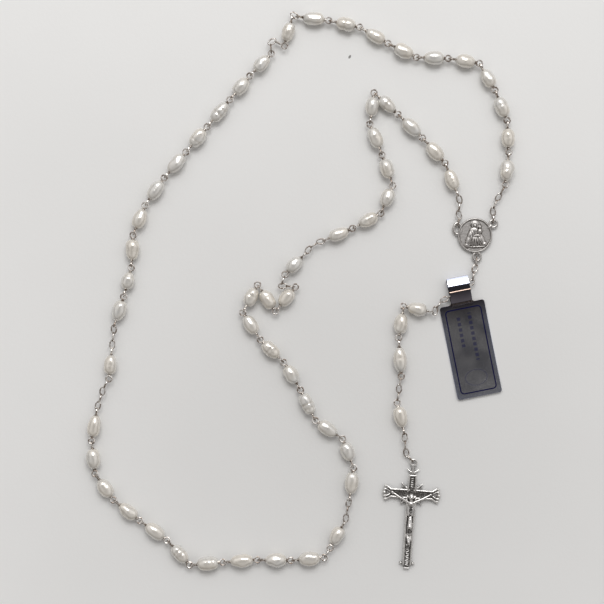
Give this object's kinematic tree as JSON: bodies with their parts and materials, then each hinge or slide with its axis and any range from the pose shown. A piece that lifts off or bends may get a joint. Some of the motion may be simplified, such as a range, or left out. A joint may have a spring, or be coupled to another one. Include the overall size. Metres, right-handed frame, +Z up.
{
  "type": "rosary",
  "caption": "Prayer beads of baroque pearls on wire pins with short link chains, a round centre medal, a crucifix pendant and a folded foil hang tag.",
  "frame": {"origin": "centre of the laid-out rosary in plan, on the surface it lies on", "axes": "+Z up from the surface, +Y from the crucifix end towards the top of the loop, +X to the right seen from above"},
  "size_m": [0.1368, 0.1788, 0.0043],
  "materials": {
    "pearl_on_silver_wire": "satin nacre on bright silver wire",
    "antique_silver": "matte antique silver",
    "oxidised_silver": "silver with dark oxidised recesses",
    "mirror_foil": "dark mirror foil"
  },
  "bodies": {
    "hail_mary_01": {"hail_mary_01": "pearl_on_silver_wire"},
    "hail_mary_02": {"hail_mary_02": "pearl_on_silver_wire"},
    "hail_mary_03": {"hail_mary_03": "pearl_on_silver_wire"},
    "hail_mary_04": {"hail_mary_04": "pearl_on_silver_wire"},
    "hail_mary_05": {"hail_mary_05": "pearl_on_silver_wire"},
    "hail_mary_06": {"hail_mary_06": "pearl_on_silver_wire"},
    "hail_mary_07": {"hail_mary_07": "pearl_on_silver_wire"},
    "hail_mary_08": {"hail_mary_08": "pearl_on_silver_wire"},
    "hail_mary_09": {"hail_mary_09": "pearl_on_silver_wire"},
    "hail_mary_10": {"hail_mary_10": "pearl_on_silver_wire"},
    "our_father_1": {"our_father_1": "pearl_on_silver_wire"},
    "hail_mary_11": {"hail_mary_11": "pearl_on_silver_wire"},
    "hail_mary_12": {"hail_mary_12": "pearl_on_silver_wire"},
    "hail_mary_13": {"hail_mary_13": "pearl_on_silver_wire"},
    "hail_mary_14": {"hail_mary_14": "pearl_on_silver_wire"},
    "hail_mary_15": {"hail_mary_15": "pearl_on_silver_wire"},
    "hail_mary_16": {"hail_mary_16": "pearl_on_silver_wire"},
    "hail_mary_17": {"hail_mary_17": "pearl_on_silver_wire"},
    "hail_mary_18": {"hail_mary_18": "pearl_on_silver_wire"},
    "hail_mary_19": {"hail_mary_19": "pearl_on_silver_wire"},
    "hail_mary_20": {"hail_mary_20": "pearl_on_silver_wire"},
    "our_father_2": {"our_father_2": "pearl_on_silver_wire"},
    "hail_mary_21": {"hail_mary_21": "pearl_on_silver_wire"},
    "hail_mary_22": {"hail_mary_22": "pearl_on_silver_wire"},
    "hail_mary_23": {"hail_mary_23": "pearl_on_silver_wire"},
    "hail_mary_24": {"hail_mary_24": "pearl_on_silver_wire"},
    "hail_mary_25": {"hail_mary_25": "pearl_on_silver_wire"},
    "hail_mary_50": {"hail_mary_50": "pearl_on_silver_wire"},
    "hail_mary_49": {"hail_mary_49": "pearl_on_silver_wire"},
    "hail_mary_48": {"hail_mary_48": "pearl_on_silver_wire"},
    "hail_mary_47": {"hail_mary_47": "pearl_on_silver_wire"},
    "hail_mary_46": {"hail_mary_46": "pearl_on_silver_wire"},
    "hail_mary_45": {"hail_mary_45": "pearl_on_silver_wire"},
    "hail_mary_44": {"hail_mary_44": "pearl_on_silver_wire"},
    "hail_mary_43": {"hail_mary_43": "pearl_on_silver_wire"},
    "hail_mary_42": {"hail_mary_42": "pearl_on_silver_wire"},
    "hail_mary_41": {"hail_mary_41": "pearl_on_silver_wire"},
    "our_father_4": {"our_father_4": "pearl_on_silver_wire"},
    "hail_mary_40": {"hail_mary_40": "pearl_on_silver_wire"},
    "hail_mary_39": {"hail_mary_39": "pearl_on_silver_wire"},
    "hail_mary_38": {"hail_mary_38": "pearl_on_silver_wire"},
    "hail_mary_37": {"hail_mary_37": "pearl_on_silver_wire"},
    "hail_mary_36": {"hail_mary_36": "pearl_on_silver_wire"},
    "hail_mary_35": {"hail_mary_35": "pearl_on_silver_wire"},
    "hail_mary_34": {"hail_mary_34": "pearl_on_silver_wire"},
    "hail_mary_33": {"hail_mary_33": "pearl_on_silver_wire"},
    "hail_mary_32": {"hail_mary_32": "pearl_on_silver_wire"},
    "hail_mary_31": {"hail_mary_31": "pearl_on_silver_wire"},
    "our_father_3": {"our_father_3": "pearl_on_silver_wire"},
    "hail_mary_30": {"hail_mary_30": "pearl_on_silver_wire"},
    "hail_mary_29": {"hail_mary_29": "pearl_on_silver_wire"},
    "hail_mary_28": {"hail_mary_28": "pearl_on_silver_wire"},
    "hail_mary_27": {"hail_mary_27": "pearl_on_silver_wire"},
    "hail_mary_26": {"hail_mary_26": "pearl_on_silver_wire"},
    "pendant_hail_mary_1": {"pendant_hail_mary_1": "pearl_on_silver_wire"},
    "pendant_hail_mary_2_3": {"pendant_hail_mary_2_3": "pearl_on_silver_wire"},
    "pendant_our_father": {"pendant_our_father": "pearl_on_silver_wire"},
    "centre_medal": {"centre_medal": "antique_silver"},
    "crucifix": {"crucifix": "oxidised_silver"},
    "hang_tag": {"hang_tag": "mirror_foil"}
  },
  "joints": [
    {"name": "hail_mary_01_pivot", "type": "hinge", "parent": "centre_medal", "child": "hail_mary_01", "pos_m": [0.06175, 0.02232, 0.0011], "axis": [0.9994, 0.0349, 0], "range_deg": [-25, 25]},
    {"name": "hail_mary_02_pivot", "type": "hinge", "parent": "hail_mary_01", "child": "hail_mary_02", "pos_m": [0.06646, 0.04326, 0.00215], "axis": [-0.9945, 0.1045, 0], "range_deg": [-25, 25]},
    {"name": "hail_mary_03_pivot", "type": "hinge", "parent": "hail_mary_02", "child": "hail_mary_03", "pos_m": [0.06611, 0.05334, 0.00215], "axis": [0.9986, 0.0523, 0], "range_deg": [-25, 25]},
    {"name": "hail_mary_04_pivot", "type": "hinge", "parent": "hail_mary_03", "child": "hail_mary_04", "pos_m": [0.06253, 0.06315, 0.00215], "axis": [-0.9272, -0.3746, 0], "range_deg": [-25, 25]},
    {"name": "hail_mary_05_pivot", "type": "hinge", "parent": "hail_mary_04", "child": "hail_mary_05", "pos_m": [0.05772, 0.07179, 0.00215], "axis": [0.866, 0.5, 0], "range_deg": [-25, 25]},
    {"name": "hail_mary_06_pivot", "type": "hinge", "parent": "hail_mary_05", "child": "hail_mary_06", "pos_m": [0.04828, 0.07416, 0.00215], "axis": [-0.1564, -0.9877, 0], "range_deg": [-25, 25]},
    {"name": "hail_mary_07_pivot", "type": "hinge", "parent": "hail_mary_06", "child": "hail_mary_07", "pos_m": [0.0381, 0.07465, 0.00215], "axis": [0.0349, 0.9994, 0], "range_deg": [-25, 25]},
    {"name": "hail_mary_08_pivot", "type": "hinge", "parent": "hail_mary_07", "child": "hail_mary_08", "pos_m": [0.02891, 0.07863, 0.00215], "axis": [-0.4384, -0.8988, 0], "range_deg": [-25, 25]},
    {"name": "hail_mary_09_pivot", "type": "hinge", "parent": "hail_mary_08", "child": "hail_mary_09", "pos_m": [0.01978, 0.08381, 0.00215], "axis": [0.5, 0.866, 0], "range_deg": [-25, 25]},
    {"name": "hail_mary_10_pivot", "type": "hinge", "parent": "hail_mary_09", "child": "hail_mary_10", "pos_m": [0.01002, 0.08623, 0.00215], "axis": [-0.2079, -0.9781, 0], "range_deg": [-25, 25]},
    {"name": "our_father_1_pivot", "type": "hinge", "parent": "hail_mary_10", "child": "our_father_1", "pos_m": [-0.00058, 0.08763, 0.00215], "axis": [0.1219, 0.9925, 0], "range_deg": [-25, 25]},
    {"name": "hail_mary_11_pivot", "type": "hinge", "parent": "our_father_1", "child": "hail_mary_11", "pos_m": [-0.00949, 0.07687, 0.00215], "axis": [0.9962, 0.0872, 0], "range_deg": [-25, 25]},
    {"name": "hail_mary_12_pivot", "type": "hinge", "parent": "hail_mary_11", "child": "hail_mary_12", "pos_m": [-0.01552, 0.06954, 0.00215], "axis": [-0.7193, 0.6947, 0], "range_deg": [-25, 25]},
    {"name": "hail_mary_13_pivot", "type": "hinge", "parent": "hail_mary_12", "child": "hail_mary_13", "pos_m": [-0.02194, 0.06201, 0.00215], "axis": [0.766, -0.6428, 0], "range_deg": [-25, 25]},
    {"name": "hail_mary_14_pivot", "type": "hinge", "parent": "hail_mary_13", "child": "hail_mary_14", "pos_m": [-0.0292, 0.05335, 0.00215], "axis": [-0.766, 0.6428, 0], "range_deg": [-25, 25]},
    {"name": "hail_mary_15_pivot", "type": "hinge", "parent": "hail_mary_14", "child": "hail_mary_15", "pos_m": [-0.03595, 0.04531, 0.00215], "axis": [0.766, -0.6428, 0], "range_deg": [-25, 25]},
    {"name": "hail_mary_16_pivot", "type": "hinge", "parent": "hail_mary_15", "child": "hail_mary_16", "pos_m": [-0.04296, 0.03696, 0.00215], "axis": [-0.766, 0.6428, 0], "range_deg": [-25, 25]},
    {"name": "hail_mary_17_pivot", "type": "hinge", "parent": "hail_mary_16", "child": "hail_mary_17", "pos_m": [-0.04917, 0.02825, 0.00215], "axis": [0.8192, -0.5736, 0], "range_deg": [-25, 25]},
    {"name": "hail_mary_18_pivot", "type": "hinge", "parent": "hail_mary_17", "child": "hail_mary_18", "pos_m": [-0.05325, 0.01882, 0.00215], "axis": [-0.9272, 0.3746, 0], "range_deg": [-25, 25]},
    {"name": "hail_mary_19_pivot", "type": "hinge", "parent": "hail_mary_18", "child": "hail_mary_19", "pos_m": [-0.05415, 0.00841, 0.00215], "axis": [0.9986, -0.0523, 0], "range_deg": [-25, 25]},
    {"name": "hail_mary_20_pivot", "type": "hinge", "parent": "hail_mary_19", "child": "hail_mary_20", "pos_m": [-0.05638, -0.0008, 0.00215], "axis": [-0.9659, 0.2588, 0], "range_deg": [-25, 25]},
    {"name": "our_father_2_pivot", "type": "hinge", "parent": "hail_mary_20", "child": "our_father_2", "pos_m": [-0.05957, -0.0108, 0.00215], "axis": [0.9511, -0.309, 0], "range_deg": [-25, 25]},
    {"name": "hail_mary_21_pivot", "type": "hinge", "parent": "our_father_2", "child": "hail_mary_21", "pos_m": [-0.06526, -0.03842, 0.00215], "axis": [-0.9848, 0.1736, 0], "range_deg": [-25, 25]},
    {"name": "hail_mary_22_pivot", "type": "hinge", "parent": "hail_mary_21", "child": "hail_mary_22", "pos_m": [-0.06684, -0.04917, 0.00215], "axis": [0.9945, 0.1045, 0], "range_deg": [-25, 25]},
    {"name": "hail_mary_23_pivot", "type": "hinge", "parent": "hail_mary_22", "child": "hail_mary_23", "pos_m": [-0.06523, -0.05941, 0.00215], "axis": [-0.8192, -0.5736, 0], "range_deg": [-25, 25]},
    {"name": "hail_mary_24_pivot", "type": "hinge", "parent": "hail_mary_23", "child": "hail_mary_24", "pos_m": [-0.05909, -0.06763, 0.00215], "axis": [0.6157, 0.788, 0], "range_deg": [-25, 25]},
    {"name": "hail_mary_25_pivot", "type": "hinge", "parent": "hail_mary_24", "child": "hail_mary_25", "pos_m": [-0.05152, -0.07354, 0.00215], "axis": [0, 0, -1], "range_deg": [-12, 12]},
    {"name": "hail_mary_50_pivot", "type": "hinge", "parent": "centre_medal", "child": "hail_mary_50", "pos_m": [0.05041, 0.02131, 0.0011], "axis": [0.9848, -0.1736, 0], "range_deg": [-25, 25]},
    {"name": "hail_mary_49_pivot", "type": "hinge", "parent": "hail_mary_50", "child": "hail_mary_49", "pos_m": [0.04653, 0.03992, 0.00215], "axis": [-0.9272, -0.3746, 0], "range_deg": [-25, 25]},
    {"name": "hail_mary_48_pivot", "type": "hinge", "parent": "hail_mary_49", "child": "hail_mary_48", "pos_m": [0.03969, 0.04808, 0.00215], "axis": [0.7431, 0.6691, 0], "range_deg": [-25, 25]},
    {"name": "hail_mary_47_pivot", "type": "hinge", "parent": "hail_mary_48", "child": "hail_mary_47", "pos_m": [0.03191, 0.0557, 0.00215], "axis": [-0.6947, -0.7193, 0], "range_deg": [-25, 25]},
    {"name": "hail_mary_46_pivot", "type": "hinge", "parent": "hail_mary_47", "child": "hail_mary_46", "pos_m": [0.02428, 0.06262, 0.00215], "axis": [0.6691, 0.7431, 0], "range_deg": [-25, 25]},
    {"name": "hail_mary_45_pivot", "type": "hinge", "parent": "hail_mary_46", "child": "hail_mary_45", "pos_m": [0.02221, 0.05445, 0.00215], "axis": [0.9903, -0.1392, 0], "range_deg": [-25, 25]},
    {"name": "hail_mary_44_pivot", "type": "hinge", "parent": "hail_mary_45", "child": "hail_mary_44", "pos_m": [0.02565, 0.04446, 0.00215], "axis": [-0.9272, -0.3746, 0], "range_deg": [-25, 25]},
    {"name": "hail_mary_43_pivot", "type": "hinge", "parent": "hail_mary_44", "child": "hail_mary_43", "pos_m": [0.02906, 0.03474, 0.00215], "axis": [0.9455, 0.3256, 0], "range_deg": [-25, 25]},
    {"name": "hail_mary_42_pivot", "type": "hinge", "parent": "hail_mary_43", "child": "hail_mary_42", "pos_m": [0.02606, 0.02578, 0.00215], "axis": [-0.9205, 0.3907, 0], "range_deg": [-25, 25]},
    {"name": "hail_mary_41_pivot", "type": "hinge", "parent": "hail_mary_42", "child": "hail_mary_41", "pos_m": [0.0175, 0.02045, 0.00215], "axis": [0.4695, -0.8829, 0], "range_deg": [-25, 25]},
    {"name": "our_father_4_pivot", "type": "hinge", "parent": "hail_mary_41", "child": "our_father_4", "pos_m": [0.00788, 0.01626, 0.00215], "axis": [-0.3907, 0.9205, 0], "range_deg": [-25, 25]},
    {"name": "hail_mary_40_pivot", "type": "hinge", "parent": "our_father_4", "child": "hail_mary_40", "pos_m": [-0.0027, 0.00132, 0.00215], "axis": [0.0872, 0.9962, 0], "range_deg": [-25, 25]},
    {"name": "hail_mary_39_pivot", "type": "hinge", "parent": "hail_mary_40", "child": "hail_mary_39", "pos_m": [-0.00736, -0.00576, 0.00215], "axis": [-0.7771, 0.6293, 0], "range_deg": [-25, 25]},
    {"name": "hail_mary_38_pivot", "type": "hinge", "parent": "hail_mary_39", "child": "hail_mary_38", "pos_m": [-0.0132, 0.00101, 0.00215], "axis": [-0.829, -0.5592, 0], "range_deg": [-25, 25]},
    {"name": "hail_mary_37_pivot", "type": "hinge", "parent": "hail_mary_38", "child": "hail_mary_37", "pos_m": [-0.01804, -0.00602, 0.00215], "axis": [-0.8829, 0.4695, 0], "range_deg": [-25, 25]},
    {"name": "hail_mary_36_pivot", "type": "hinge", "parent": "hail_mary_37", "child": "hail_mary_36", "pos_m": [-0.01355, -0.01471, 0.00215], "axis": [0.8387, 0.5446, 0], "range_deg": [-25, 25]},
    {"name": "hail_mary_35_pivot", "type": "hinge", "parent": "hail_mary_36", "child": "hail_mary_35", "pos_m": [-0.00619, -0.02216, 0.00215], "axis": [-0.6947, -0.7193, 0], "range_deg": [-25, 25]},
    {"name": "hail_mary_34_pivot", "type": "hinge", "parent": "hail_mary_35", "child": "hail_mary_34", "pos_m": [-0.00066, -0.03081, 0.00215], "axis": [0.8572, 0.515, 0], "range_deg": [-25, 25]},
    {"name": "hail_mary_33_pivot", "type": "hinge", "parent": "hail_mary_34", "child": "hail_mary_33", "pos_m": [0.00421, -0.04056, 0.00215], "axis": [-0.8988, -0.4384, 0], "range_deg": [-25, 25]},
    {"name": "hail_mary_32_pivot", "type": "hinge", "parent": "hail_mary_33", "child": "hail_mary_32", "pos_m": [0.01248, -0.04681, 0.00215], "axis": [0.5592, 0.829, 0], "range_deg": [-25, 25]},
    {"name": "hail_mary_31_pivot", "type": "hinge", "parent": "hail_mary_32", "child": "hail_mary_31", "pos_m": [0.01655, -0.05564, 0.00215], "axis": [-0.9336, -0.3584, 0], "range_deg": [-25, 25]},
    {"name": "our_father_3_pivot", "type": "hinge", "parent": "hail_mary_31", "child": "our_father_3", "pos_m": [0.01558, -0.06637, 0.00215], "axis": [0.9903, -0.1392, 0], "range_deg": [-25, 25]},
    {"name": "hail_mary_30_pivot", "type": "hinge", "parent": "our_father_3", "child": "hail_mary_30", "pos_m": [0.00804, -0.08452, 0.00215], "axis": [-0.848, 0.5299, 0], "range_deg": [-25, 25]},
    {"name": "hail_mary_29_pivot", "type": "hinge", "parent": "hail_mary_30", "child": "hail_mary_29", "pos_m": [-0.00205, -0.0862, 0.00215], "axis": [0.0872, -0.9962, 0], "range_deg": [-25, 25]},
    {"name": "hail_mary_28_pivot", "type": "hinge", "parent": "hail_mary_29", "child": "hail_mary_28", "pos_m": [-0.01274, -0.08613, 0.00215], "axis": [0.0175, 0.9998, 0], "range_deg": [-25, 25]},
    {"name": "hail_mary_27_pivot", "type": "hinge", "parent": "hail_mary_28", "child": "hail_mary_27", "pos_m": [-0.02492, -0.08689, 0.00215], "axis": [0, 0, 1], "range_deg": [-12, 12]},
    {"name": "hail_mary_26_pivot", "type": "hinge", "parent": "hail_mary_27", "child": "hail_mary_26", "pos_m": [-0.03448, -0.0877, 0.00215], "axis": [-0.0851, 0.9964, 0], "range_deg": [-25, 25]},
    {"name": "pendant_hail_mary_1_pivot", "type": "hinge", "parent": "centre_medal", "child": "pendant_hail_mary_1", "pos_m": [0.05636, 0.01013, 0.0011], "axis": [-0.9903, 0.1392, 0], "range_deg": [-25, 25]},
    {"name": "pendant_hail_mary_2_3_pivot", "type": "hinge", "parent": "pendant_hail_mary_1", "child": "pendant_hail_mary_2_3", "pos_m": [0.03291, -0.00494, 0.00215], "axis": [0, 0, 1], "range_deg": [-5, 20]},
    {"name": "pendant_our_father_pivot", "type": "hinge", "parent": "pendant_hail_mary_2_3", "child": "pendant_our_father", "pos_m": [0.03197, -0.02836, 0.00215], "axis": [0.9781, -0.2079, 0], "range_deg": [-30, 30]},
    {"name": "crucifix_pivot", "type": "hinge", "parent": "pendant_our_father", "child": "crucifix", "pos_m": [0.03623, -0.05507, 0.0012], "axis": [0, 0, -1], "range_deg": [-30, 30]},
    {"name": "hang_tag_pivot", "type": "hinge", "parent": "pendant_hail_mary_1", "child": "hang_tag", "pos_m": [0.05025, -0.00017, 0.0017], "axis": [-0.8387, -0.5446, 0], "range_deg": [0, 100]}
  ]
}
